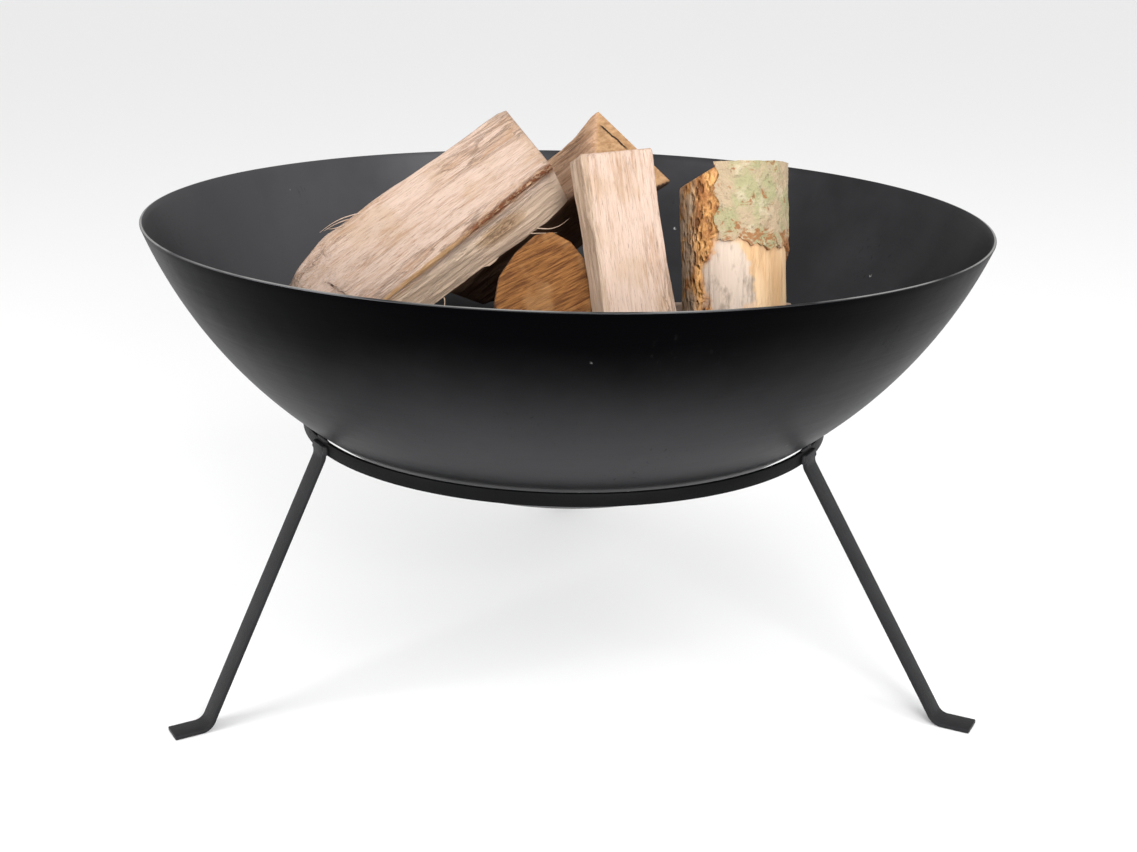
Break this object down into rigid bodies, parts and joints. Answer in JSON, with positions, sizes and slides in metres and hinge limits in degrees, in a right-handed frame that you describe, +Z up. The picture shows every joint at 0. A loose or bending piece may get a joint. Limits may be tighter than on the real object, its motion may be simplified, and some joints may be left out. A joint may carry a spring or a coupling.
{
  "type": "fire bowl",
  "caption": "Wide dished steel fire bowl resting loose in the ring of a three-legged welded stand, filled with split and round firewood logs.",
  "frame": {"origin": "on the floor, under the middle of the part's outline", "axes": "+Z up; -Y is the front of the stand, where the single gap between two legs faces; +X is to the right seen from the front"},
  "size_m": [0.7995, 0.829, 0.5399],
  "materials": {
    "bowl_steel": "dark blackened sheet steel, satin",
    "stand_paint": "black textured paint",
    "weld_bead": "painted over weld bead",
    "split_wood": "fresh split wood, rough",
    "weathered_wood": "darkened old split wood, rough",
    "bark": "thin grey-green bark, rough"
  },
  "bodies": {
    "stand": {"support_ring": "stand_paint", "left_leg": "stand_paint", "right_leg": "stand_paint", "rear_leg": "stand_paint", "left_leg_front_weld": "weld_bead", "left_leg_back_weld": "weld_bead", "right_leg_front_weld": "weld_bead", "right_leg_back_weld": "weld_bead", "rear_leg_left_weld": "weld_bead", "rear_leg_right_weld": "weld_bead", "left_rest_weld": "weld_bead", "right_rest_weld": "weld_bead", "rear_rest_weld": "weld_bead"},
    "bowl": {"fire_bowl": "bowl_steel"},
    "low_right_log": {"low_right_log": "split_wood"},
    "low_left_log": {"low_left_log": "split_wood"},
    "dark_round_log": {"dark_round_log": "weathered_wood"},
    "left_split_log": {"left_split_log": "split_wood"},
    "back_wedge_log": {"back_wedge_log": "weathered_wood"},
    "front_plank_log": {"front_plank_log": "split_wood"},
    "bark_log": {"bark_log": "split_wood", "bark_slab": "bark"}
  },
  "joints": [
    {"name": "bowl_lift", "type": "slide", "parent": "stand", "child": "bowl", "axis": [0, 0, 1], "range_m": [0, 0.35]},
    {"name": "low_right_log_lift", "type": "slide", "parent": "bowl", "child": "low_right_log", "axis": [0, 0, 1], "range_m": [0, 0.3]},
    {"name": "low_left_log_lift", "type": "slide", "parent": "low_right_log", "child": "low_left_log", "axis": [0, 0, 1], "range_m": [0, 0.3]},
    {"name": "dark_round_log_lift", "type": "slide", "parent": "low_left_log", "child": "dark_round_log", "axis": [0, 0, 1], "range_m": [0, 0.3]},
    {"name": "left_split_log_lift", "type": "slide", "parent": "dark_round_log", "child": "left_split_log", "axis": [0, 0, 1], "range_m": [0, 0.3]},
    {"name": "back_wedge_log_lift", "type": "slide", "parent": "dark_round_log", "child": "back_wedge_log", "axis": [0, 0, 1], "range_m": [0, 0.3]},
    {"name": "front_plank_log_lift", "type": "slide", "parent": "dark_round_log", "child": "front_plank_log", "axis": [0, 0, 1], "range_m": [0, 0.35]},
    {"name": "bark_log_lift", "type": "slide", "parent": "low_right_log", "child": "bark_log", "axis": [0, 0, 1], "range_m": [0, 0.3]}
  ]
}
